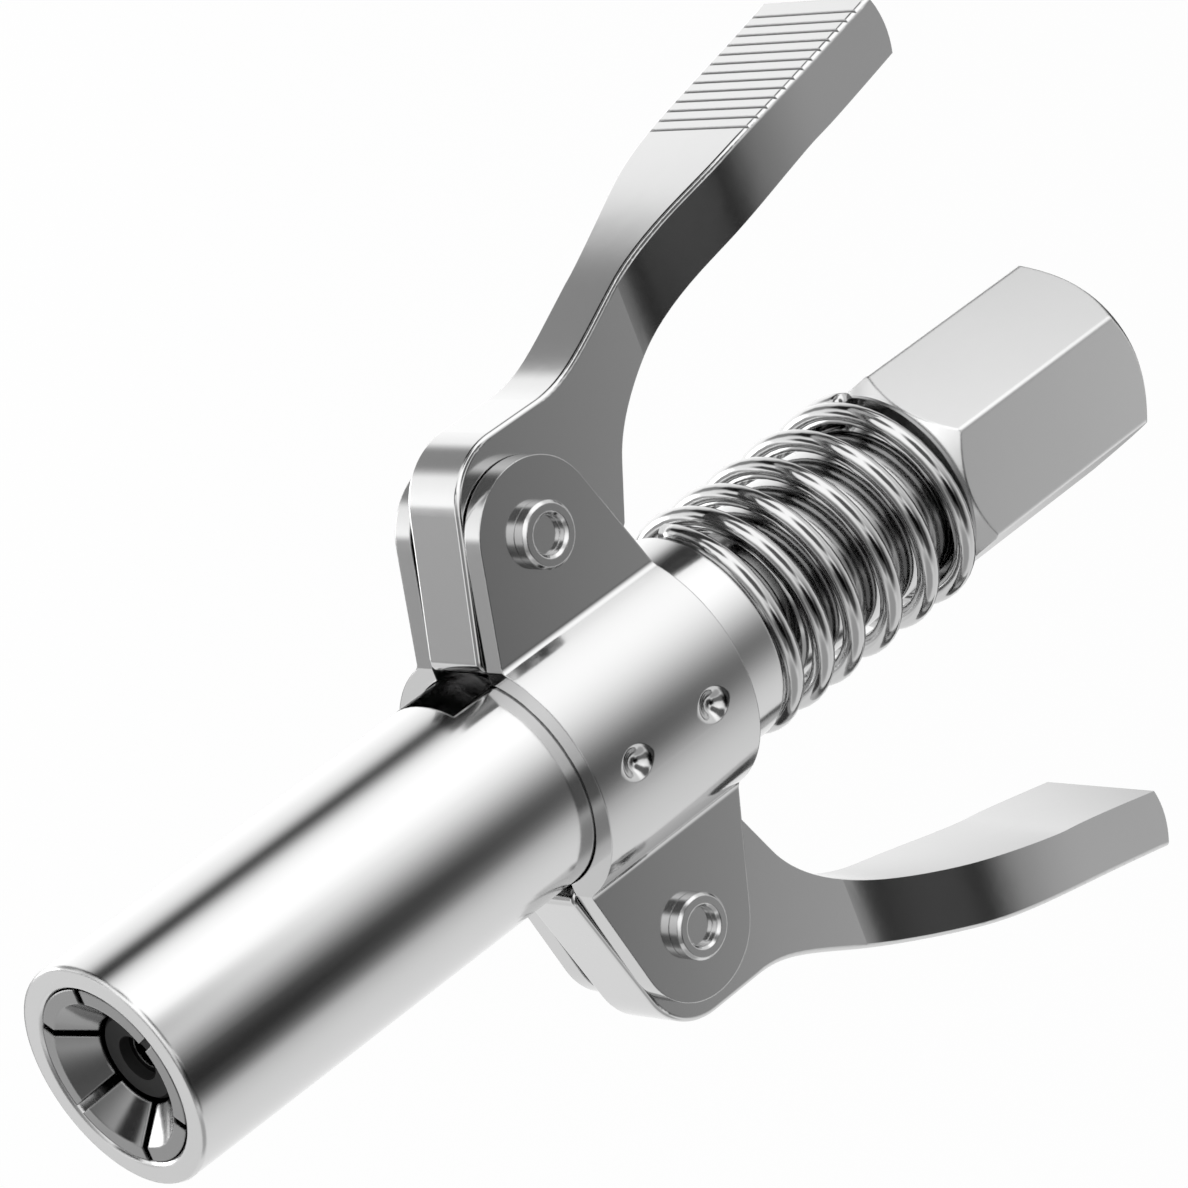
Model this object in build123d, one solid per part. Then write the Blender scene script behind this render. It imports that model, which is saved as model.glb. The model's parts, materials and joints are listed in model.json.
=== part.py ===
from build123d import *
from math import cos, pi, radians, sin, sqrt, tan
import os

# A quick-release grease coupler: a hexagon with a hollow stem carries six jaws, and a sprung
# sleeve with two squeeze levers slides on the stem to close or free them.
# X runs along the grease path from the inlet, at 0, to the nose. The levers lie in the XY plane.
# Radii are measured from the X axis, and every length is in millimetres.

# Hexagon and inlet
hex_flats = 14.0
hex_length = 19.5
hex_edge_round = 0.35
hex_inlet_face_radius = 6.65
hex_spring_face_radius = 6.45
inlet_radius = 4.86
inlet_depth = 9.5
drill_tip_angle = 59.0
passage_radius = 1.75

# Stem
stem_radius = 5.05
waist_radius = 3.5
waist_length = 5.5
spigot_depth = 5.5

# Outer spring
spring_seat_thickness = 0.3
spring_seat_radius = 7.4
spring_length = 19.8
spring_wire = 1.4
spring_outer_radius = 8.08
spring_turns = 6.0
end_turns = 0.75
wire_sides = 8

# Sleeve
sleeve_length = 53.6
sleeve_radius = 7.67
sleeve_bore_radius = 5.4
sleeve_guide_radius = 5.12
sleeve_guide_length = 8.1
nose_edge_chamfer = 0.25
mouth_radius = 6.31
taper_mouth_radius = 6.10
taper_angle = 11.0
window_width = 5.6
window_length = 12.3
window_ahead = 10.5
tail_chamfer = 0.3

# Yoke: two pressed halves that hold the levers between their ears
yoke_setback = 4.3
yoke_length = 14.4
sheet = 1.45
ear_radius = 5.05
ear_crease = 0.5
yoke_front_gap = 0.12
yoke_front_gap_depth = 0.35
dimple_radius = 1.55
dimple_depth = 0.75
dimple_spacing = 7.3

# Levers and their rivets
pin_ahead = 7.6
pin_offset = 14.37
lever_thickness = 5.0
lever_side_gap = 0.15
lever_length = 40.55
lever_tip_rise = 18.15
lever_tip_bulge = 0.4
lever_pad_width = 10.2
lever_head_front = 3.21
lever_head_rise = 6.95
lever_head_round = 4.9
lever_foot_front = 7.36
lever_foot_rear = 2.9
lever_foot_drop = 6.6
lever_foot_round = 0.9
lever_heel = 1.1
lever_neck_round = 0.5
lever_edge_round = 0.35
lever_sleeve_gap = 0.3
pin_radius = 1.5
pin_gap = 0.06
rivet_head_radius = 2.22
rivet_head_height = 1.0
rivet_recess_radius = 1.3
rivet_recess_depth = 0.65
rivet_head_chamfer = 0.2
toe_front = 2.26
toe_width = 2.66
toe_reach = 10.56
toe_face = 1.8
toe_round = 0.9
toe_gap = 0.22
groove_count = 13
groove_pitch = 1.02
groove_depth = 0.26
groove_share = 0.95
groove_start = 1.35

# Collar, jaw carrier and seals
collar_thickness = 2.0
collar_radius = 5.35
collar_bore_gap = 0.05
carrier_length = 16.8
carrier_neck_radius = 2.7
carrier_neck_length = 2.4
carrier_head_radius = 3.3
carrier_head_length = 1.8
gland_radius = 3.0
gland_length = 7.5
seal_section = 1.04
washer_thickness = 0.6
washer_gap = 0.05

# Jaws
jaw_count = 6
jaw_slit = 0.6
jaw_recess = 0.1
jaw_fit = 0.05
jaw_finger_radius = 4.75
jaw_bore_radius = 3.4
jaw_hook_gap = 0.1
jaw_head_length = 4.3
jaw_taper_length = 3.6
jaw_lip_radius = 5.08
throat_radius = 3.1
throat_length = 0.15
throat_depth = 1.85
spreader_ahead = 3.97
spreader_wire = 0.66
spreader_groove_width = 1.2
spreader_groove_depth = 0.4
spreader_gap_angle = 30.0

# Seal and its sprung nozzle
seal_setback = 0.03
seal_length = 3.0
seal_radius = 3.0
seal_hole_radius = 1.55
seal_lip_thickness = 0.8
seal_edge_round = 0.25
nozzle_radius = 1.85
nozzle_bore_radius = 1.1
nozzle_flange_thickness = 1.0
nozzle_fit = 0.07
nozzle_tail = 0.7
clip_radius = 2.7
clip_thickness = 0.6
clip_groove_depth = 0.25
clip_gap = 0.1
clip_opening_share = 1.6
clip_opening_ahead = 0.6
seal_spring_wire = 0.6
seal_spring_radius = 2.5
seal_spring_turns = 6.0

# Places along X that follow from the sizes above
seat_x = hex_length + spring_seat_thickness
tail_x = seat_x + spring_length
nose_x = tail_x + sleeve_length
yoke_x = tail_x + yoke_setback
pin_x = yoke_x + pin_ahead
window_front_x = pin_x + window_ahead
collar_x = pin_x + toe_front + toe_gap
shoulder_x = collar_x - waist_length
carrier_x = collar_x + collar_thickness
spigot_x = carrier_x + spigot_depth
gland_x = spigot_x + gland_length
neck_x = carrier_x + carrier_length
head_x = neck_x + carrier_neck_length
head_front_x = head_x + carrier_head_length
jaw_x = neck_x + jaw_hook_gap
jaw_front_x = nose_x - jaw_recess
throat_x = jaw_front_x - throat_depth
seal_x = throat_x - throat_length - seal_setback
flange_x = seal_x - seal_length
spreader_x = head_front_x + spreader_ahead
gland_washer_x = gland_x - 2 * washer_thickness - seal_section - 2 * washer_gap
clip_x = gland_washer_x - clip_gap - clip_thickness
nozzle_x = clip_x - nozzle_tail

# Other sizes that follow
ear_inner = lever_thickness / 2 + lever_side_gap
ear_outer = ear_inner + sheet
yoke_radius = sleeve_radius + sheet
hex_corner_radius = hex_flats / 2 / cos(pi / 6)
taper_slope = tan(radians(taper_angle))


def turned(*corners):
    """A solid turned about X, from the corners (x, radius) of half its section."""
    return revolve(make_face(Polyline(*corners, close=True)), Axis.X)


def ring(start, end, inner, outer):
    """A plain turned ring between two places on X."""
    return turned((start, inner), (end, inner), (end, outer), (start, outer))


def rod(start, end, radius):
    """A plain turned rod between two places on X."""
    return ring(start, end, 0, radius)


def other_side(shape):
    """The same piece on the other side of the X axis."""
    return Rot(X=180) * shape


def coil(start, end, mean_radius, wire, turns, closed, start_angle):
    """A right-handed wire spring about X whose end turns lie flat against their seats."""
    steps_per_turn = 16
    rise = end - start - wire
    points = []
    for step in range(round(turns * steps_per_turn) + 1):
        turn = step / steps_per_turn
        share = min(max((turn - closed) / (turns - 2 * closed), 0), 1)
        angle = radians(start_angle) + 2 * pi * turn
        x = start + wire / 2 + rise * share
        points.append((x, mean_radius * cos(angle), mean_radius * sin(angle)))
    path = Spline(*points)
    section = Plane(origin=path @ 0, z_dir=path % 0) * RegularPolygon(wire / 2, wire_sides)
    return sweep(section, path=path, is_frenet=True)


def make_hex_body():
    """Hexagon, hollow stem, waist and spigot in one piece."""
    flats = RegularPolygon(hex_flats / 2, 6, major_radius=False)
    prism = extrude(Plane.YZ * flats, hex_length)
    prism = fillet(prism.edges().filter_by(Axis.X), hex_edge_round)
    envelope = turned(
        (0, 0),
        (0, hex_inlet_face_radius),
        (hex_corner_radius - hex_inlet_face_radius, hex_corner_radius),
        (hex_length - (hex_corner_radius - hex_spring_face_radius), hex_corner_radius),
        (hex_length, hex_spring_face_radius),
        (hex_length, 0),
    )
    tip_length = inlet_radius / tan(radians(drill_tip_angle))
    inlet = turned((0, 0), (0, inlet_radius), (inlet_depth, inlet_radius), (inlet_depth + tip_length, 0))
    body = prism & envelope
    body += rod(hex_length, shoulder_x, stem_radius)
    body += rod(shoulder_x, spigot_x, waist_radius)
    return body - inlet - rod(inlet_depth, spigot_x, passage_radius)


def make_spring_seat():
    """Thin washer between the spring and the hexagon."""
    return ring(hex_length, seat_x, stem_radius, spring_seat_radius)


def make_outer_spring():
    """The spring that pushes the sleeve forward and closes the jaws."""
    mean_radius = spring_outer_radius - spring_wire / 2
    return coil(seat_x, tail_x, mean_radius, spring_wire, spring_turns, end_turns, 180)


def make_sleeve():
    """Outer sleeve: guide on the stem, straight bore, closing taper and two lever windows."""
    guide_end = tail_x + sleeve_guide_length
    mouth_bevel = mouth_radius - taper_mouth_radius
    taper_start = nose_x - mouth_bevel - (taper_mouth_radius - sleeve_bore_radius) / taper_slope
    body = turned(
        (tail_x, sleeve_guide_radius),
        (guide_end, sleeve_guide_radius),
        (guide_end, sleeve_bore_radius),
        (taper_start, sleeve_bore_radius),
        (nose_x - mouth_bevel, taper_mouth_radius),
        (nose_x, mouth_radius),
        (nose_x, sleeve_radius - nose_edge_chamfer / 2),
        (nose_x - nose_edge_chamfer, sleeve_radius),
        (tail_x + tail_chamfer, sleeve_radius),
        (tail_x, sleeve_radius - tail_chamfer),
    )
    windows = Box(window_length, 3 * sleeve_radius, window_width, align=(Align.MAX, Align.CENTER, Align.CENTER))
    return body - Pos(window_front_x, 0, 0) * windows


def yoke_plan():
    """Outline of a yoke half seen along Z: the band with a round ear about each pin."""
    foot_y = sqrt(yoke_radius**2 - ear_outer**2)
    foot = Line((yoke_x, foot_y), (yoke_x + yoke_length, foot_y))
    eye = Pos(pin_x, pin_offset) * Circle(ear_radius)
    ear = make_hull(eye.edges() + [foot])
    band = Pos(yoke_x + yoke_length / 2, 0) * Rectangle(yoke_length, 2 * foot_y)
    return band + ear + mirror(ear, Plane.XZ)


def make_yoke_half():
    """The +Z half of the yoke: half a pressed band with an ear on each side."""
    span = 2 * (pin_offset + ear_radius)
    profile = Circle(yoke_radius) + Pos(0, ear_inner + sheet / 2) * Rectangle(span, sheet)
    profile -= Circle(sleeve_radius)
    profile &= Pos(0, ear_inner) * Rectangle(span, span, align=(Align.CENTER, Align.MIN))
    crease_y = sqrt(yoke_radius**2 - ear_outer**2)
    creases = [
        corner
        for corner in profile.vertices()
        if abs(corner.Y - ear_outer) < 0.01 and abs(abs(corner.X) - crease_y) < 0.01
    ]
    profile = fillet(creases, ear_crease)
    half = Pos(yoke_x, 0, 0) * extrude(Plane.YZ * profile, yoke_length)
    half &= extrude(yoke_plan(), span)
    front_x = yoke_x + yoke_length
    half -= turned(
        (front_x - yoke_front_gap_depth, sleeve_radius),
        (front_x, sleeve_radius + yoke_front_gap),
        (front_x, sleeve_radius),
    )
    hole = Pos(pin_x, pin_offset) * Cylinder(pin_radius, span)
    half -= hole + mirror(hole, Plane.XZ)
    pit = Spline((0, -dimple_depth), (dimple_radius, 0), tangents=((1, 0), (1, 0)))
    axis = Polyline(pit @ 1, (0, 0), pit @ 0)
    dimple = revolve(Plane.XZ * make_face(Curve() + [pit, axis]), Axis.Z)
    for side in (-1, 1):
        place = yoke_x + yoke_length / 2 + side * dimple_spacing / 2
        half -= Pos(place, 0, yoke_radius) * dimple
    return half


def make_rivet():
    """Semi-tubular rivet through the ears and one lever, on the +Y side."""
    top = ear_outer + rivet_head_height
    bottom = -ear_outer - rivet_head_height
    edge = rivet_head_chamfer
    section = Polyline(
        (0, bottom),
        (rivet_head_radius - 3 * edge, bottom),
        (rivet_head_radius, bottom + 2 * edge),
        (rivet_head_radius, -ear_outer),
        (pin_radius, -ear_outer),
        (pin_radius, ear_outer),
        (rivet_head_radius, ear_outer),
        (rivet_head_radius, top - edge),
        (rivet_head_radius - edge, top),
        (rivet_recess_radius + edge, top),
        (rivet_recess_radius, top - edge),
        (rivet_recess_radius, top - rivet_recess_depth),
        (0, top - rivet_recess_depth),
        close=True,
    )
    return Pos(pin_x, pin_offset, 0) * revolve(make_face(Plane.XZ * section), Axis.Z)


def arm_point(share, rise):
    """A point on a lever's arm about its pin, in shares of the arm's length and the tip's rise."""
    return (-share * lever_length, rise * lever_tip_rise)


def lever_outer_edge():
    """The outer edge of a lever's arm, from the head to the tip, about the pin."""
    head_end = (-0.12 * lever_length, lever_head_rise)
    bends = [arm_point(0.22, 0.437), arm_point(0.36, 0.597), arm_point(0.56, 0.770)]
    return Spline(head_end, *bends, arm_point(1, 1), tangents=((-1, 0), (-1, 0.23)))


def lever_inner_edge(start):
    """The inner edge of a lever's arm, from the neck to the tip, about the pin."""
    bends = [arm_point(0.27, 0.133), arm_point(0.366, 0.311), arm_point(0.543, 0.491), arm_point(0.78, 0.648)]
    return Spline(start @ 1, *bends, arm_point(1.01, 0.766), tangents=(start % 1, Vector(-1, 0.25)))


def lever_outline():
    """Side view of a lever about its pin: forward is +X and away from the sleeve is +Y."""
    hollow_radius = pin_offset - sleeve_radius - lever_sleeve_gap
    heel = (-lever_heel, -sqrt(hollow_radius**2 - lever_heel**2))
    hollow = [
        (hollow_radius * cos(radians(angle)), hollow_radius * sin(radians(angle)))
        for angle in (234, 214)
    ]
    outer = lever_outer_edge()
    head = FilletPolyline(
        outer @ 0,
        (lever_head_front, lever_head_rise),
        (lever_foot_front, -lever_foot_drop),
        (lever_foot_rear, -lever_foot_drop),
        (toe_front, toe_face - toe_reach),
        (toe_front, -toe_reach),
        (toe_front - toe_width, -toe_reach),
        heel,
        radius=[lever_head_round, lever_foot_round, toe_round, toe_round, toe_round, toe_round],
    )
    bottom = ThreePointArc(heel, *hollow)
    neck = FilletPolyline(hollow[1], arm_point(0.191, -0.204), arm_point(0.234, 0.010), radius=lever_neck_round)
    inner = lever_inner_edge(neck)
    tip_middle = ((outer @ 1) + (inner @ 1)) / 2 - Vector(lever_tip_bulge, 0)
    tip = ThreePointArc(outer @ 1, tip_middle, inner @ 1)
    return make_face(Curve() + [outer, head, bottom, neck, inner, tip])


def pad_point(share, widening):
    """A point on a lever's edge seen from above, in shares of its length and of the pad's flare."""
    slim = lever_thickness / 2
    return (-share * lever_length, slim + widening * (lever_pad_width / 2 - slim))


def lever_plan():
    """Half widths of a lever along its length, seen from above: slim head, flared pad."""
    bends = [pad_point(0.42, 0.12), pad_point(0.50, 0.42), pad_point(0.58, 0.74), pad_point(0.68, 0.90)]
    flare = Spline(pad_point(0.35, 0), *bends, pad_point(1.03, 1), tangents=((-1, 0), (-1, 0.02)))
    front = 2 * lever_foot_front
    back = (flare @ 1).X
    rest = Polyline(flare @ 0, (front, (flare @ 0).Y), (front, 0), (back, 0), flare @ 1)
    side = make_face(Curve() + [flare, rest])
    return side + mirror(side, Plane.XZ)


def borders_the_thumb(line, edge):
    """Whether a line of a lever's blank lies at a side of the lever's outer edge."""
    places = [line @ share for share in (0, 0.5, 1)]
    beside = min(abs(place.Z) for place in places) > lever_thickness / 4
    return beside and all(edge.distance_to(Vertex(place.X, place.Y, 0)) < 0.01 for place in places)


def make_lever():
    """One lever on the +Y side, with a toe in the window and a grooved thumb pad."""
    tall = 4 * ear_outer
    blank = extrude(lever_outline(), tall / 2, both=True)
    plan = extrude(Plane.XZ * lever_plan(), -4 * pin_offset, both=True)
    blank &= plan
    edge = lever_outer_edge()
    blank = fillet([line for line in blank.edges() if borders_the_thumb(line, edge)], lever_edge_round)
    blank -= Cylinder(pin_radius + pin_gap, tall)
    for count in range(groove_count):
        place = 1 - (groove_start + count * groove_pitch) / edge.length
        along = edge % place
        tooth = Polyline((0, groove_depth), (groove_share * groove_pitch, groove_depth), (0, -groove_depth), close=True)
        cut = extrude(make_face(tooth), tall, both=True)
        turn = Vector(1, 0).get_signed_angle(along)
        blank -= Location(edge @ place, (0, 0, turn + 180)) * cut
    return Pos(pin_x, pin_offset, 0) * blank


def make_push_collar():
    """Hard ring that the lever toes press on."""
    return ring(collar_x, carrier_x, waist_radius + collar_bore_gap, collar_radius)


def make_carrier():
    """Jaw carrier on the spigot: seal gland behind, hooked neck in front."""
    body = turned(
        (carrier_x, waist_radius),
        (spigot_x, waist_radius),
        (spigot_x, gland_radius),
        (gland_x, gland_radius),
        (gland_x, nozzle_radius + nozzle_fit),
        (head_front_x, nozzle_radius + nozzle_fit),
        (head_front_x, carrier_head_radius),
        (head_x, carrier_head_radius),
        (head_x, carrier_neck_radius),
        (neck_x, carrier_neck_radius),
        (neck_x, collar_radius),
        (carrier_x, collar_radius),
    )
    return body


def make_jaw():
    """One jaw, centred on +Y: hook, finger, closing taper, funnel and grip lip."""
    hook_front = head_x - jaw_hook_gap
    head_start = nose_x - jaw_head_length
    taper_end = jaw_front_x - jaw_taper_length
    lip_outer = taper_mouth_radius - jaw_fit
    taper_radius = lip_outer - jaw_taper_length * taper_slope
    groove_start_x = spreader_x - spreader_groove_width / 2
    groove_end_x = spreader_x + spreader_groove_width / 2
    groove_radius = jaw_bore_radius + spreader_groove_depth
    lip_rear = throat_x - throat_length
    back_cone = jaw_bore_radius - throat_radius
    whole = turned(
        (jaw_x, carrier_neck_radius + jaw_hook_gap),
        (hook_front, carrier_neck_radius + jaw_hook_gap),
        (hook_front, jaw_bore_radius),
        (groove_start_x, jaw_bore_radius),
        (groove_start_x, groove_radius),
        (groove_end_x, groove_radius),
        (groove_end_x, jaw_bore_radius),
        (lip_rear - back_cone, jaw_bore_radius),
        (lip_rear, throat_radius),
        (throat_x, throat_radius),
        (jaw_front_x, jaw_lip_radius),
        (jaw_front_x, lip_outer),
        (taper_end, taper_radius),
        (head_start + taper_radius - jaw_finger_radius, taper_radius),
        (head_start, jaw_finger_radius),
        (jaw_x, jaw_finger_radius),
    )
    half_angle = 180 / jaw_count
    apex = jaw_slit / 2 / sin(radians(half_angle))
    reach = 2 * sleeve_radius
    across = reach * tan(radians(half_angle))
    wedge = make_face(Polyline((apex, 0), (apex + reach, across), (apex + reach, -across), close=True))
    return whole & Pos(jaw_x, 0, 0) * extrude(Plane.YZ * wedge, nose_x - jaw_x)


def make_spreader():
    """Split wire ring inside the jaws that springs them apart."""
    mean_radius = jaw_bore_radius
    start = Plane(origin=(spreader_x, mean_radius, 0), z_dir=(0, 0, 1)) * Circle(spreader_wire / 2)
    wire = revolve(start, Axis.X, 360 - spreader_gap_angle)
    return Rot(X=spreader_gap_angle / 2) * wire


def make_seal():
    """Rubber face seal with a socket for the nozzle."""
    lip_x = seal_x - seal_lip_thickness
    return turned(
        (flange_x, nozzle_radius),
        (lip_x, nozzle_radius),
        (lip_x, seal_hole_radius),
        (seal_x, seal_hole_radius),
        (seal_x, seal_radius - seal_edge_round),
        (seal_x - seal_edge_round, seal_radius),
        (flange_x, seal_radius),
    )


def make_nozzle():
    """Sliding nozzle that carries the seal and leads the grease through the carrier."""
    groove_radius = nozzle_radius - clip_groove_depth
    flange_rear_x = flange_x - nozzle_flange_thickness
    return turned(
        (nozzle_x, nozzle_bore_radius),
        (seal_x - seal_lip_thickness, nozzle_bore_radius),
        (seal_x - seal_lip_thickness, nozzle_radius),
        (flange_x, nozzle_radius),
        (flange_x, seal_radius),
        (flange_rear_x, seal_radius),
        (flange_rear_x, nozzle_radius),
        (clip_x + clip_thickness, nozzle_radius),
        (clip_x + clip_thickness, groove_radius),
        (clip_x, groove_radius),
        (clip_x, nozzle_radius),
        (nozzle_x, nozzle_radius),
    )


def make_nozzle_clip():
    """Open retaining clip in the nozzle's groove."""
    groove_radius = nozzle_radius - clip_groove_depth
    clip = ring(clip_x, clip_x + clip_thickness, groove_radius, clip_radius)
    opening = Box(2 * clip_thickness, clip_opening_share * groove_radius, 2 * clip_radius)
    return clip - Pos(clip_x, 0, clip_radius + clip_opening_ahead * groove_radius) * opening


def make_gland_washer():
    """Washer that holds the O-ring in its gland."""
    front = gland_washer_x + washer_thickness
    return ring(gland_washer_x, front, nozzle_radius + nozzle_fit, gland_radius)


def make_o_ring():
    """O-ring on the nozzle."""
    mean_radius = (nozzle_radius + nozzle_fit + gland_radius) / 2
    centre = gland_x - washer_thickness - washer_gap - seal_section / 2
    return revolve(Pos(centre, mean_radius) * Circle(seal_section / 2), Axis.X)


def make_backup_washer():
    """Backup washer in front of the O-ring."""
    return ring(gland_x - washer_thickness, gland_x, nozzle_radius + nozzle_fit, gland_radius)


def make_seal_spring():
    """Light spring that holds the seal against the jaws' lips."""
    end = flange_x - nozzle_flange_thickness
    return coil(head_front_x, end, seal_spring_radius, seal_spring_wire, seal_spring_turns, end_turns, 0)


def main():
    """Writes every piece to its own file, under the name of its node."""
    yoke_half = make_yoke_half()
    rivet = make_rivet()
    lever = make_lever()
    pieces = {
        "hex_body": make_hex_body(),
        "spring_seat": make_spring_seat(),
        "outer_spring": make_outer_spring(),
        "push_collar": make_push_collar(),
        "jaw_carrier": make_carrier(),
        "jaw_spreader": make_spreader(),
        "gland_washer": make_gland_washer(),
        "o_ring": make_o_ring(),
        "backup_washer": make_backup_washer(),
        "seal_spring": make_seal_spring(),
        "seal_nozzle": make_nozzle(),
        "nozzle_clip": make_nozzle_clip(),
        "face_seal": make_seal(),
        "sleeve": make_sleeve(),
        "yoke_half_upper": yoke_half,
        "yoke_half_lower": other_side(yoke_half),
        "rivet_right": rivet,
        "rivet_left": mirror(rivet, Plane.XZ),
        "lever_right": lever,
        "lever_left": mirror(lever, Plane.XZ),
    }
    jaw = make_jaw()
    for count in range(jaw_count):
        pieces[f"jaw_{count + 1}"] = Rot(X=(count + 0.5) * 360 / jaw_count) * jaw
    os.makedirs("parts", exist_ok=True)
    for name, piece in pieces.items():
        export_step(piece, f"parts/{name}.step")


main()
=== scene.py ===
import json
import math

import bmesh
import bpy
from mathutils import Matrix, Vector


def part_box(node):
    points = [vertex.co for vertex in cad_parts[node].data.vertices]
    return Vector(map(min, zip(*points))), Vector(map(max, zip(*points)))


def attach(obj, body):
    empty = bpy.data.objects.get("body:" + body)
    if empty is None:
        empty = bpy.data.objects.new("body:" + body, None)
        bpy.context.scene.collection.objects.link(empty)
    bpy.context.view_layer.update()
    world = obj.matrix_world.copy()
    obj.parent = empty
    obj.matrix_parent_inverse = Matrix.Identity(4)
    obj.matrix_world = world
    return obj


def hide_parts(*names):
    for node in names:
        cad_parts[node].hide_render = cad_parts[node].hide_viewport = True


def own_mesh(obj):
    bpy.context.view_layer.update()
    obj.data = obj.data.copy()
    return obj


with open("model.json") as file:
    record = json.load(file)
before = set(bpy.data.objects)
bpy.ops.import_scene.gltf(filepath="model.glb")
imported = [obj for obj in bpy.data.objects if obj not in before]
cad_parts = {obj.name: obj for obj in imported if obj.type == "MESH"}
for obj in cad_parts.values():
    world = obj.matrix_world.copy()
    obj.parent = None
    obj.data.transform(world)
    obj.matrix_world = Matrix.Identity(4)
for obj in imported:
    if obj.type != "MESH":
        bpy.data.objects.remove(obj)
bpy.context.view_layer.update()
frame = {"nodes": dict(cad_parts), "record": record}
nodes = frame["nodes"]
MM = 0.001

# Places read from the frame: X runs along the coupler, from the inlet to the nose
seat_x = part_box("outer_spring")[0].x
tail_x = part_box("sleeve")[0].x


# Shader nodes

def shader_graph(name):
    """A new material with nothing but a Principled shader: (material, node tree, shader)."""
    material = bpy.data.materials.new(name)
    material.use_nodes = True
    return material, material.node_tree, material.node_tree.nodes["Principled BSDF"]


def add(tree, kind, inputs=None, **settings):
    """A new node with its settings, and with its inputs set to values or linked to sockets."""
    node = tree.nodes.new(kind)
    for key, value in settings.items():
        setattr(node, key, value)
    for key, value in (inputs or {}).items():
        if isinstance(value, bpy.types.NodeSocket):
            tree.links.new(value, node.inputs[key])
        else:
            node.inputs[key].default_value = value
    return node


def arithmetic(tree, operation, *values, clamp=False):
    """The result of a sum on numbers or sockets."""
    inputs = dict(enumerate(values))
    return add(tree, "ShaderNodeMath", inputs, operation=operation, use_clamp=clamp).outputs[0]


def vector_sum(tree, operation, *values, output=0):
    """The result of a sum on vectors or sockets."""
    inputs = dict(enumerate(values))
    return add(tree, "ShaderNodeVectorMath", inputs, operation=operation).outputs[output]


def remapped(tree, value, low, high, start=0.0, end=1.0, curve="LINEAR"):
    """A value that goes from start to end, moved to go from low to high."""
    return add(
        tree, "ShaderNodeMapRange",
        {"Value": value, "From Min": start, "From Max": end, "To Min": low, "To Max": high},
        interpolation_type=curve,
    ).outputs[0]


def noise(tree, place, scale, detail):
    """Noise from 0 to 1 at a place in the object."""
    inputs = {"Vector": place, "Scale": scale, "Detail": detail}
    return add(tree, "ShaderNodeTexNoise", inputs).outputs["Fac"]


def grey_colour(tree, tone):
    """A colour with the same tone in each channel."""
    return add(tree, "ShaderNodeCombineColor", {"Red": tone, "Green": tone, "Blue": tone}).outputs[0]


# Materials

# How deep the fine grain of a surface is in its bump
grain_depth = 0.02 * MM
# The grain and the handling marks of metal: noise scale and detail, then strength
metal_grain, metal_bump = (2500.0, 4.0), 0.02
metal_marks, mark_strength = (140.0, 3.0), 0.015
# What a polished end has left of its roughness, and of its tone as painted shade, and over what length
# it comes
polish_and_shade_left, polish_and_shade_fade = 0.45, 0.1 * MM
bevel_samples = 6


def metal(name, grey, roughness, edge=0.25 * MM, grain=0.04, stretch=(1, 1, 1), polished_and_shaded_from=None):
    """Plated steel: rounded edges, a fine grain in its roughness and faint handling marks.

    Beyond a given place along X, a ground finish turns into a polished one, and its tone is darkened
    there as painted shade for the stem inside the spring.
    """
    material, tree, shader = shader_graph(name)
    place = add(tree, "ShaderNodeTexCoord").outputs["Object"]
    lengthened = add(tree, "ShaderNodeMapping", {"Vector": place, "Scale": stretch}).outputs[0]
    fine = noise(tree, lengthened, *metal_grain)
    marks = noise(tree, place, *metal_marks)
    rough = remapped(tree, fine, roughness - grain, roughness + grain)
    tone = remapped(tree, marks, grey * (1 - mark_strength), grey * (1 + mark_strength))
    # Past this place the tone drops as painted shade on the stem between the coils, and the roughness
    # drops as a real polish
    if polished_and_shaded_from is not None:
        along = add(tree, "ShaderNodeSeparateXYZ", {0: place}).outputs["X"]
        ground_and_shade = remapped(tree, along, 1.0, polish_and_shade_left, polished_and_shaded_from, polished_and_shaded_from + polish_and_shade_fade)
        rough = arithmetic(tree, "MULTIPLY", rough, ground_and_shade)
        tone = arithmetic(tree, "MULTIPLY", tone, ground_and_shade)
    rounded = add(tree, "ShaderNodeBevel", {"Radius": edge}, samples=bevel_samples).outputs[0]
    surface = add(
        tree, "ShaderNodeBump",
        {"Height": fine, "Strength": metal_bump, "Distance": grain_depth, "Normal": rounded},
    )
    tree.links.new(grey_colour(tree, tone), shader.inputs["Base Color"])
    tree.links.new(rough, shader.inputs["Roughness"])
    tree.links.new(surface.outputs[0], shader.inputs["Normal"])
    shader.inputs["Metallic"].default_value = 1.0
    return material


# The mottle of moulded pieces: noise scale and detail, strength in the tone and in the bump
mottle_grain, mottle_strength, mottle_bump = (1800.0, 5.0), 0.2, 0.2
moulded_roughness, moulded_gloss = 0.6, 0.25


def moulded(name, grey):
    """Matt moulded rubber or plastic with a fine mottle."""
    material, tree, shader = shader_graph(name)
    place = add(tree, "ShaderNodeTexCoord").outputs["Object"]
    mottle = noise(tree, place, *mottle_grain)
    tone = remapped(tree, mottle, grey * (1 - mottle_strength), grey * (1 + mottle_strength))
    surface = add(
        tree, "ShaderNodeBump", {"Height": mottle, "Strength": mottle_bump, "Distance": grain_depth},
    )
    tree.links.new(grey_colour(tree, tone), shader.inputs["Base Color"])
    tree.links.new(surface.outputs[0], shader.inputs["Normal"])
    shader.inputs["Roughness"].default_value = moulded_roughness
    shader.inputs["Specular IOR Level"].default_value = moulded_gloss
    return material


# Where the hexagon's ground finish ends along X and the stem's painted shade begins, and how far a
# turned sleeve's grain is drawn out
polish_and_shade_start = 19.6 * MM
drawn_out = (0.05, 1, 1)
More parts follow.
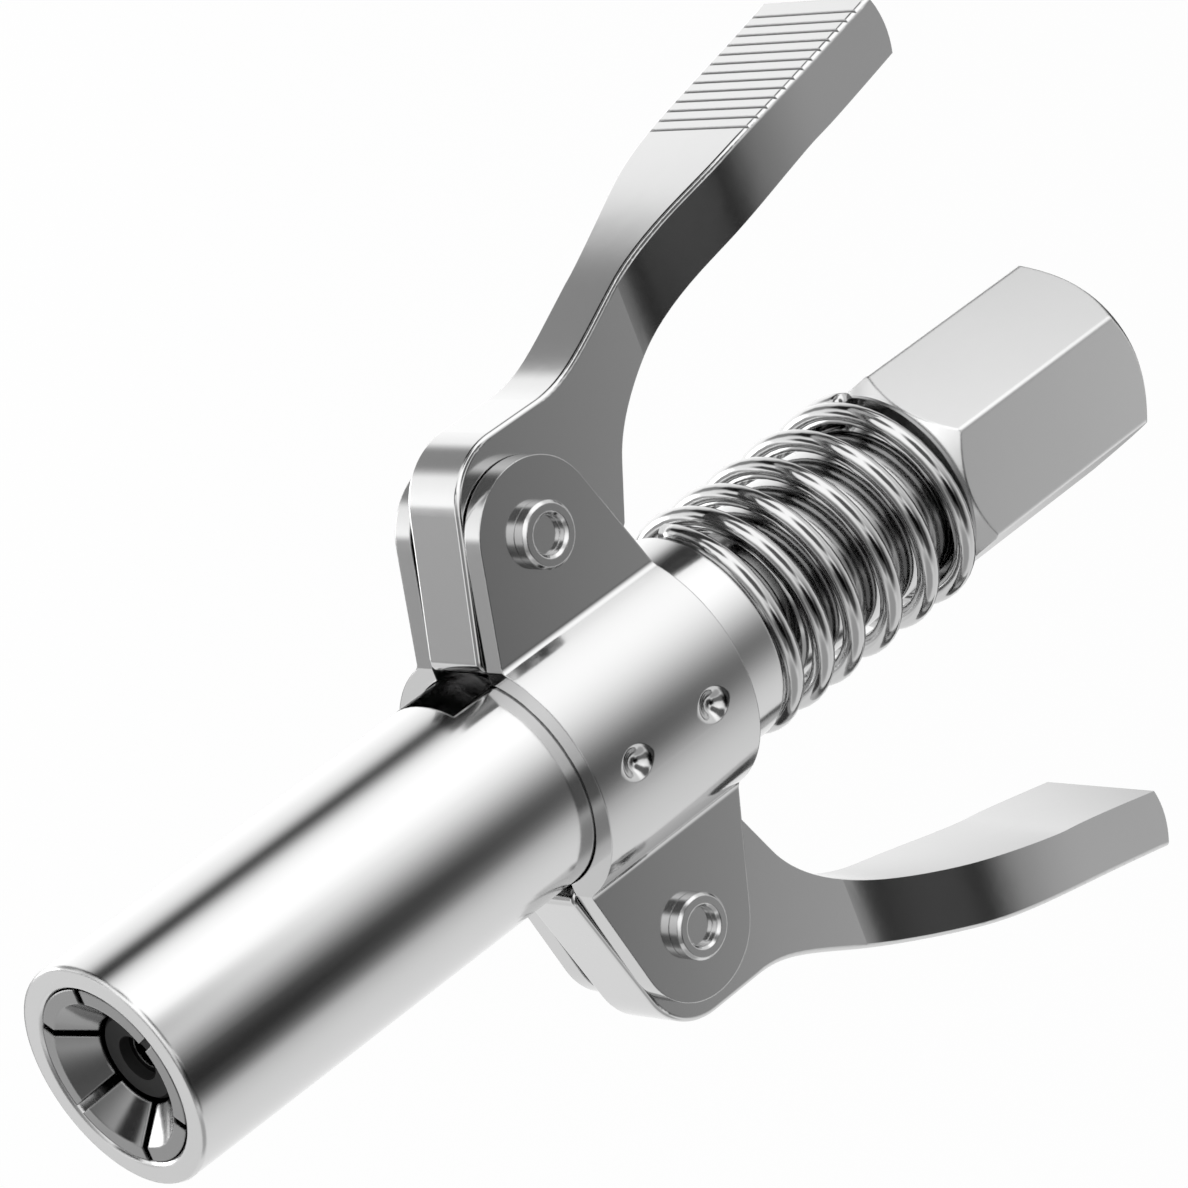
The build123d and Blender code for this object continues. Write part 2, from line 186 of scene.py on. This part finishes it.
# One finish for each material slot: grey and roughness first
finishes = {
    "body_chrome": metal("body_chrome", 0.72, 0.22, polished_and_shaded_from=polish_and_shade_start),
    "sleeve_chrome": metal("sleeve_chrome", 0.63, 0.13, stretch=drawn_out),
    "yoke_chrome": metal("yoke_chrome", 0.58, 0.12, edge=0.12 * MM, grain=0.03),
    "lever_steel": metal("lever_steel", 0.63, 0.13, edge=0.06 * MM, grain=0.03),
    "rivet_chrome": metal("rivet_chrome", 0.63, 0.14, edge=0.12 * MM),
    "spring_steel": metal("spring_steel", 0.56, 0.1, edge=0.1 * MM),
    "jaw_steel": metal("jaw_steel", 0.28, 0.15, edge=0.2 * MM),
    # hard_steel is the blackened steel of the inner parts; on the spring seat its dark grey is also
    # painted shade for the gap at the hexagon's cone
    "hard_steel": metal("hard_steel", 0.3, 0.22, edge=0.1 * MM),
    # The nozzle's near-black grey is painted shade, so that the seal's hole looks dark down to the
    # nozzle
    "nozzle_steel": metal("nozzle_steel", 0.12, 0.2, edge=0.15 * MM),
    "seal_rubber": moulded("seal_rubber", 0.02),
    "backup_plastic": moulded("backup_plastic", 0.8),
}


# The CAD nodes

# How wide the square edges of the larger pieces are rounded, by how their names start
edge_rounds = {"lever": 0.25 * MM, "yoke_half": 0.16 * MM, "hex_body": 0.3 * MM, "sleeve": 0.15 * MM}
round_segments = 3
# Edges above these angles count as square or blunt, and a blunt one gets this share of the width
square_angle, blunt_angle = math.radians(60), math.radians(35)
blunt_share, hexagon_blunt_share = 0.4, 0.9
# The part of a lever along X, from its tip, that has the thumb grooves, and how square to Z
# a face is that counts as the lever's flat side
grooves_start, grooves_end, flat_side = 0.9 * MM, 16.0 * MM, 0.85


def weigh_edges(node, grooved, blunt):
    """Weighs a node's edges for rounding: square ones in full, blunt ones less, grooves not at all.

    On a lever's far side, -Z, the edge that the grooves run out at stays sharp too.
    """
    mesh = node.data
    tip = min(vertex.co.x for vertex in mesh.vertices)
    shape = bmesh.new()
    shape.from_mesh(mesh)
    weights = []
    for edge in shape.edges:
        angle = edge.calc_face_angle(0.0)
        weight = 1.0 if angle > square_angle else blunt if angle > blunt_angle else 0.0
        middle = (edge.verts[0].co.x + edge.verts[1].co.x) / 2 - tip
        beside = max(abs(face.normal.z) for face in edge.link_faces)
        across_grooves = grooves_start < middle < grooves_end
        if grooved and across_grooves and (beside < flat_side or edge.verts[0].co.z < 0):
            weight = 0.0
        weights.append(weight)
    shape.free()
    layer = mesh.attributes.new("bevel_weight_edge", "FLOAT", "EDGE")
    layer.data.foreach_set("value", weights)


def dress_nodes():
    """Gives every CAD node the finish of its material slot, and rounds the edges of the larger ones."""
    for part in frame["record"]["subparts"]:
        node = nodes[part["node"]]
        node.data.materials.clear()
        node.data.materials.append(finishes[part["material_slot"]])
        for start, width in edge_rounds.items():
            if part["node"].startswith(start):
                blunt = hexagon_blunt_share if start == "hex_body" else blunt_share
                weigh_edges(node, grooved=start == "lever", blunt=blunt)
                rounding = node.modifiers.new("edge_round", "BEVEL")
                rounding.width = width
                rounding.segments = round_segments
                rounding.limit_method = "WEIGHT"
                rounding.use_clamp_overlap = False
                rounding.harden_normals = True


# Pieces

smooth_below = math.radians(30)


def new_piece(name, points, faces, slot, body):
    """A smooth mesh piece that rides on a body and takes its finish from a slot."""
    mesh = bpy.data.meshes.new(name)
    mesh.from_pydata(points, [], faces)
    mesh.polygons.foreach_set("use_smooth", [True] * len(mesh.polygons))
    mesh.materials.append(finishes[slot])
    piece = bpy.data.objects.new(name, mesh)
    bpy.context.scene.collection.objects.link(piece)
    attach(piece, body)
    return piece


def wire(name, line, radius, slot, body, sides=20):
    """A round wire about X along a line of (x, radius, angle) stations, with flat cut ends."""
    centres = [Vector((x, r * math.cos(a), r * math.sin(a))) for x, r, a in line]
    points, faces = [], []
    for i, centre in enumerate(centres):
        ahead = (centres[min(i + 1, len(centres) - 1)] - centres[max(i - 1, 0)]).normalized()
        across = Vector((0, centre.y, centre.z)).normalized()
        across = (across - across.dot(ahead) * ahead).normalized()
        side = ahead.cross(across)
        for k in range(sides):
            turn = 2 * math.pi * k / sides
            points.append(centre + radius * (math.cos(turn) * across + math.sin(turn) * side))
    for i in range(len(centres) - 1):
        for k in range(sides):
            a, b = i * sides + k, i * sides + (k + 1) % sides
            faces.append((a, b, b + sides, a + sides))
    faces.append(tuple(range(sides))[::-1])
    faces.append(tuple(range(len(points) - sides, len(points))))
    return new_piece(name, points, faces, slot, body)


coil_steps = 48
# The outer spring: its turns, the closed ones at the hexagon, and the turn where the coils close up
outer_turns, hex_end_turns, closing_turn = 6.0, 0.65, 3.75
outer_wire, outer_mean = 0.75 * MM, 7.33 * MM
open_pitch, closing_pitch = 3.87 * MM, 3.1 * MM
# The seal's spring, with the same closed turns at either end
seal_turns, seal_closed = 6.0, 0.75
seal_wire, seal_mean, seal_sides = 0.3 * MM, 2.5 * MM, 12


def outer_spring_x(turn):
    """Where the outer spring's wire is along X, after some turns from the hexagon."""
    open_turns = min(turn, closing_turn) - hex_end_turns
    rise = max(open_turns, 0) * open_pitch + max(turn - closing_turn, 0) * closing_pitch
    return min(seat_x + outer_wire + rise, tail_x - outer_wire)


def build_outer_spring():
    """A round-wire spring in place of the CAD one."""
    line = []
    for step in range(round(outer_turns * coil_steps) + 1):
        turn = step / coil_steps
        line.append((outer_spring_x(turn), outer_mean, math.pi + 2 * math.pi * turn))
    outer = wire("outer_spring_wire", line, outer_wire, "spring_steel", "core")
    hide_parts("outer_spring")
    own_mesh(outer)


def build_seal_spring():
    """A round-wire spring in place of the CAD one."""
    low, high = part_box("seal_spring")
    line = []
    for step in range(round(seal_turns * coil_steps) + 1):
        turn = step / coil_steps
        share = min(max((turn - seal_closed) / (seal_turns - 2 * seal_closed), 0), 1)
        x = low.x + seal_wire + (high.x - low.x - 2 * seal_wire) * share
        line.append((x, seal_mean, 2 * math.pi * turn))
    inner = wire("seal_spring_wire", line, seal_wire, "spring_steel", "core", sides=seal_sides)
    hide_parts("seal_spring")
    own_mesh(inner)


def turned(name, profile, slot, body, sides=96):
    """A turned piece about X from a closed profile of (x, radius) corners."""
    points, faces = [], []
    for x, radius in profile:
        for k in range(sides):
            turn = 2 * math.pi * k / sides
            points.append((x, radius * math.cos(turn), radius * math.sin(turn)))
    for i in range(len(profile)):
        for k in range(sides):
            a, b = i * sides + k, i * sides + (k + 1) % sides
            ahead = (i + 1) % len(profile) * sides - i * sides
            faces.append((a, b, b + ahead, a + ahead))
    piece = new_piece(name, points, faces, slot, body)
    piece.data.set_sharp_from_angle(angle=smooth_below)


stop_radius, stem_clear, stop_chamfer = 6.2 * MM, 5.10 * MM, 0.2 * MM
# How far the tube's ends stay from the spring's seat and from the sleeve's tail
stop_start, stop_end = 0.05 * MM, 3.6 * MM


def build_stop():
    """The plain tube on the stem, inside the outer spring, that ends the sleeve's travel."""
    first, last = seat_x + stop_start, tail_x - stop_end
    profile = [
        (first, stem_clear),
        (last, stem_clear),
        (last, stop_radius - stop_chamfer),
        (last - stop_chamfer, stop_radius),
        (first + stop_chamfer, stop_radius),
        (first, stop_radius - stop_chamfer),
    ]
    turned("travel_stop", profile, "spring_steel", "core")


# The inlet's 1/8 inch pipe thread, inside the plain bore of the CAD node: the ridge starts a little
# inside the wall, and its foot and crest are given as half widths
thread_wall, thread_depth, thread_pitch = 4.89 * MM, 0.6 * MM, 0.941 * MM
thread_foot, thread_crest = 0.42 * MM, 0.06 * MM
thread_start, thread_end = 0.7 * MM, 8.6 * MM
# Over how many turns the ridge runs out, and what is left of it at the very end
run_out_turns, run_out_left = 0.5, 0.05


def build_thread():
    """The helical ridge of the inlet's thread, which runs out at both ends."""
    points, faces = [], []
    turns = (thread_end - thread_start) / thread_pitch
    count = round(turns * coil_steps) + 1
    for step in range(count):
        turn = step / coil_steps
        share = min(turn, turns - turn, run_out_turns) / run_out_turns
        crest = thread_wall - thread_depth * max(share, run_out_left)
        middle, angle = thread_start + thread_pitch * turn, 2 * math.pi * turn
        section = [
            (-thread_foot, thread_wall), (-thread_crest, crest),
            (thread_crest, crest), (thread_foot, thread_wall),
        ]
        for along, radius in section:
            points.append((middle + along, radius * math.cos(angle), radius * math.sin(angle)))
    corners = len(section)
    for step in range(count - 1):
        for k in range(corners):
            a, b = step * corners + k, step * corners + (k + 1) % corners
            faces.append((a, a + corners, b + corners, b))
    faces.append(tuple(range(corners)))
    faces.append(tuple(range(len(points) - 1, len(points) - corners - 1, -1)))
    thread = new_piece("inlet_thread", points, faces, "body_chrome", "core")
    thread.data.set_sharp_from_angle(angle=smooth_below)


# Studio

# The photo's camera, fitted to the ends of the cylinders and the straight edges
camera_lens, camera_sensor = 164.3, 36
camera_place = Vector((245.2, -127.75, 259.5)) * MM
camera_right = Vector((-0.6625, 0.3409, 0.6669)).normalized()
camera_up = Vector((-0.4848, -0.8739, -0.0349)).normalized()


def build_camera():
    """The camera at the photo's viewing angle."""
    data = bpy.data.cameras.new("camera")
    data.lens = camera_lens
    data.sensor_width = camera_sensor
    camera = bpy.data.objects.new("camera", data)
    back = camera_right.cross(camera_up).normalized()
    turn = Matrix((camera_right, camera_up, back)).transposed().to_4x4()
    camera.matrix_world = Matrix.Translation(camera_place) @ turn
    bpy.context.scene.collection.objects.link(camera)
    bpy.context.scene.camera = camera


def seen_directly(tree):
    """1 for a ray from the camera, from gloss or through glass."""
    path = add(tree, "ShaderNodeLightPath").outputs
    seen = arithmetic(tree, "MAXIMUM", path["Is Camera Ray"], path["Is Glossy Ray"])
    return arithmetic(tree, "MAXIMUM", seen, path["Is Transmission Ray"])


def build_world():
    """Plain white to the camera and in the metal, and a soft level for matt surfaces."""
    world = bpy.data.worlds.new("studio")
    bpy.context.scene.world = world
    world.use_nodes = True
    tree = world.node_tree
    tree.nodes.clear()
    soft = add(tree, "ShaderNodeBackground", {"Strength": 1.0}).outputs[0]
    white = add(tree, "ShaderNodeBackground", {"Strength": 1.0}).outputs[0]
    mix = add(tree, "ShaderNodeMixShader", {0: seen_directly(tree), 1: soft, 2: white})
    out = tree.nodes.new("ShaderNodeOutputWorld")
    tree.links.new(mix.outputs[0], out.inputs["Surface"])


# The light tent: the level of its cloth, the darkest that its long cards get, and where it hangs
tent_level, tent_floor = 0.97, 0.10
tent_radius, tent_detail, tent_middle = 0.45, 4, (50 * MM, 0, 0)
# Its long cards: direction round X in degrees from +Y, tightness, change of light, and along X
# where the card starts, is full, is full to, and ends
cards = {
    "key": (152, 6, 0.70, (-0.80, -0.60, 2.0, 3.0)),
    "under": (-106, 12, 0.50, (-0.82, -0.62, 2.0, 3.0)),
    "wide flag": (80, 11, -0.97, (-1.05, -0.40, -0.42, -0.15)),
    "thin flag": (-158, 70, -1.12, (-3.0, -2.0, 0.1, 0.4)),
    "edge card": (80, 40, -1.2, (-0.10, 0.05, 0.40, 0.60)),
}
# Its spots, all dark but the mouth lamp: direction, cosines where the soft edge starts and ends,
# and share of the light left
spots = {
    "low card": ((-0.02, -0.66, -0.75), 0.940, 0.993, 0.28),
    "front card": ((0.65, -0.03, -0.76), 0.968, 0.993, 0.36),
    "overhead": ((-0.10, 0.42, 0.90), 0.86, 0.98, 0.08),
    "side card": ((-0.03, -0.58, 0.81), 0.90, 0.97, 0.10),
    "corner card": ((0.571, 0.346, 0.744), 0.93, 0.985, 0.20),
    "left card": ((-0.10, -0.93, -0.36), 0.935, 0.975, 0.08),
    "right card": ((0.35, 0.90, 0.27), 0.86, 0.97, 0.50),
    "bottom card": ((0.05, 0.15, -0.99), 0.95, 0.99, 0.15),
    "edge spot": ((0.15, 0.14, 0.95), 0.94, 0.98, 0.08),
    "flank spot": ((0.10, -0.98, 0.15), 0.95, 0.985, 0.12),
    "rear card": ((-0.93, 0.27, -0.26), 0.86, 0.95, 0.08),
    "nose card": ((0.95, 0.02, 0.10), 0.72, 0.97, 0.20),
    "mouth card": ((0.72, -0.56, -0.41), 0.955, 0.988, 0.06),
    "mouth lamp": ((0.30, -0.19, -0.93), 0.95, 0.985, 3.0),
    "ring card": ((0.53, 0.36, -0.77), 0.94, 0.985, 0.86),
}


def tent_light(tree):
    """The light of the tent in each direction from its middle: cloth, long cards, then spots."""
    place = add(tree, "ShaderNodeTexCoord").outputs["Object"]
    direction = vector_sum(tree, "NORMALIZE", place)
    flat = vector_sum(tree, "MULTIPLY", place, (0, 1, 1))
    round_x = vector_sum(tree, "NORMALIZE", flat)
    along = add(tree, "ShaderNodeSeparateXYZ", {0: direction}).outputs["X"]
    level = tent_level
    for angle, tightness, change, (start, full, full_to, end) in cards.values():
        towards = (0, math.cos(math.radians(angle)), math.sin(math.radians(angle)))
        facing = vector_sum(tree, "DOT_PRODUCT", round_x, towards, output="Value")
        half = arithmetic(tree, "MULTIPLY_ADD", facing, 0.5, 0.5, clamp=True)
        share = arithmetic(tree, "POWER", half, tightness)
        fade_in = remapped(tree, along, 0.0, 1.0, start, full, "SMOOTHSTEP")
        fade_out = remapped(tree, along, 1.0, 0.0, full_to, end, "SMOOTHSTEP")
        share = arithmetic(tree, "MULTIPLY", share, fade_in)
        share = arithmetic(tree, "MULTIPLY", share, fade_out)
        level = arithmetic(tree, "MULTIPLY_ADD", share, change, level)
    level = arithmetic(tree, "MAXIMUM", level, tent_floor)
    for towards, start, end, left in spots.values():
        towards = Vector(towards).normalized()
        facing = vector_sum(tree, "DOT_PRODUCT", direction, towards, output="Value")
        shade = remapped(tree, facing, 1.0, left, start, end, "SMOOTHSTEP")
        level = arithmetic(tree, "MULTIPLY", level, shade)
    return level


def build_tent():
    """A light tent of white cloth with dark cards in it, for the metal to show."""
    material = bpy.data.materials.new("tent_cloth")
    material.use_nodes = True
    tree = material.node_tree
    tree.nodes.clear()
    glow = add(tree, "ShaderNodeEmission", {"Strength": tent_light(tree)})
    out = tree.nodes.new("ShaderNodeOutputMaterial")
    tree.links.new(glow.outputs[0], out.inputs["Surface"])
    material.cycles.emission_sampling = "NONE"
    shape = bmesh.new()
    bmesh.ops.create_icosphere(shape, subdivisions=tent_detail, radius=tent_radius)
    mesh = bpy.data.meshes.new("tent")
    shape.to_mesh(mesh)
    shape.free()
    mesh.materials.append(material)
    tent = bpy.data.objects.new("tent", mesh)
    tent.location = tent_middle
    tent.visible_camera = False
    tent.visible_shadow = False
    bpy.context.scene.collection.objects.link(tent)


floor_half, floor_height = 4.0, -0.5
floor_colour, floor_roughness = (0.92, 0.92, 0.92, 1), 0.9
# How much of the floor's look is plain white to the camera, so that only a trace of shadow shows
floor_white = 0.95


def build_floor():
    """A pale floor far below the coupler, white to the camera."""
    material, tree, shader = shader_graph("floor_paper")
    shader.inputs["Base Color"].default_value = floor_colour
    shader.inputs["Roughness"].default_value = floor_roughness
    glow = add(tree, "ShaderNodeEmission", {"Strength": 1.0}).outputs[0]
    share = arithmetic(tree, "MULTIPLY", seen_directly(tree), floor_white)
    mix = add(tree, "ShaderNodeMixShader", {0: share, 1: shader.outputs[0], 2: glow})
    tree.links.new(mix.outputs[0], tree.nodes["Material Output"].inputs["Surface"])
    corners = [
        (-floor_half, -floor_half, floor_height), (floor_half, -floor_half, floor_height),
        (floor_half, floor_half, floor_height), (-floor_half, floor_half, floor_height),
    ]
    mesh = bpy.data.meshes.new("floor")
    mesh.from_pydata(corners, [], [(0, 1, 2, 3)])
    mesh.materials.append(material)
    floor = bpy.data.objects.new("floor", mesh)
    bpy.context.scene.collection.objects.link(floor)


dress_nodes()
build_outer_spring()
build_seal_spring()
build_stop()
build_thread()
build_camera()
build_world()
build_tent()
build_floor()
bpy.context.scene.view_settings.view_transform = "Standard"
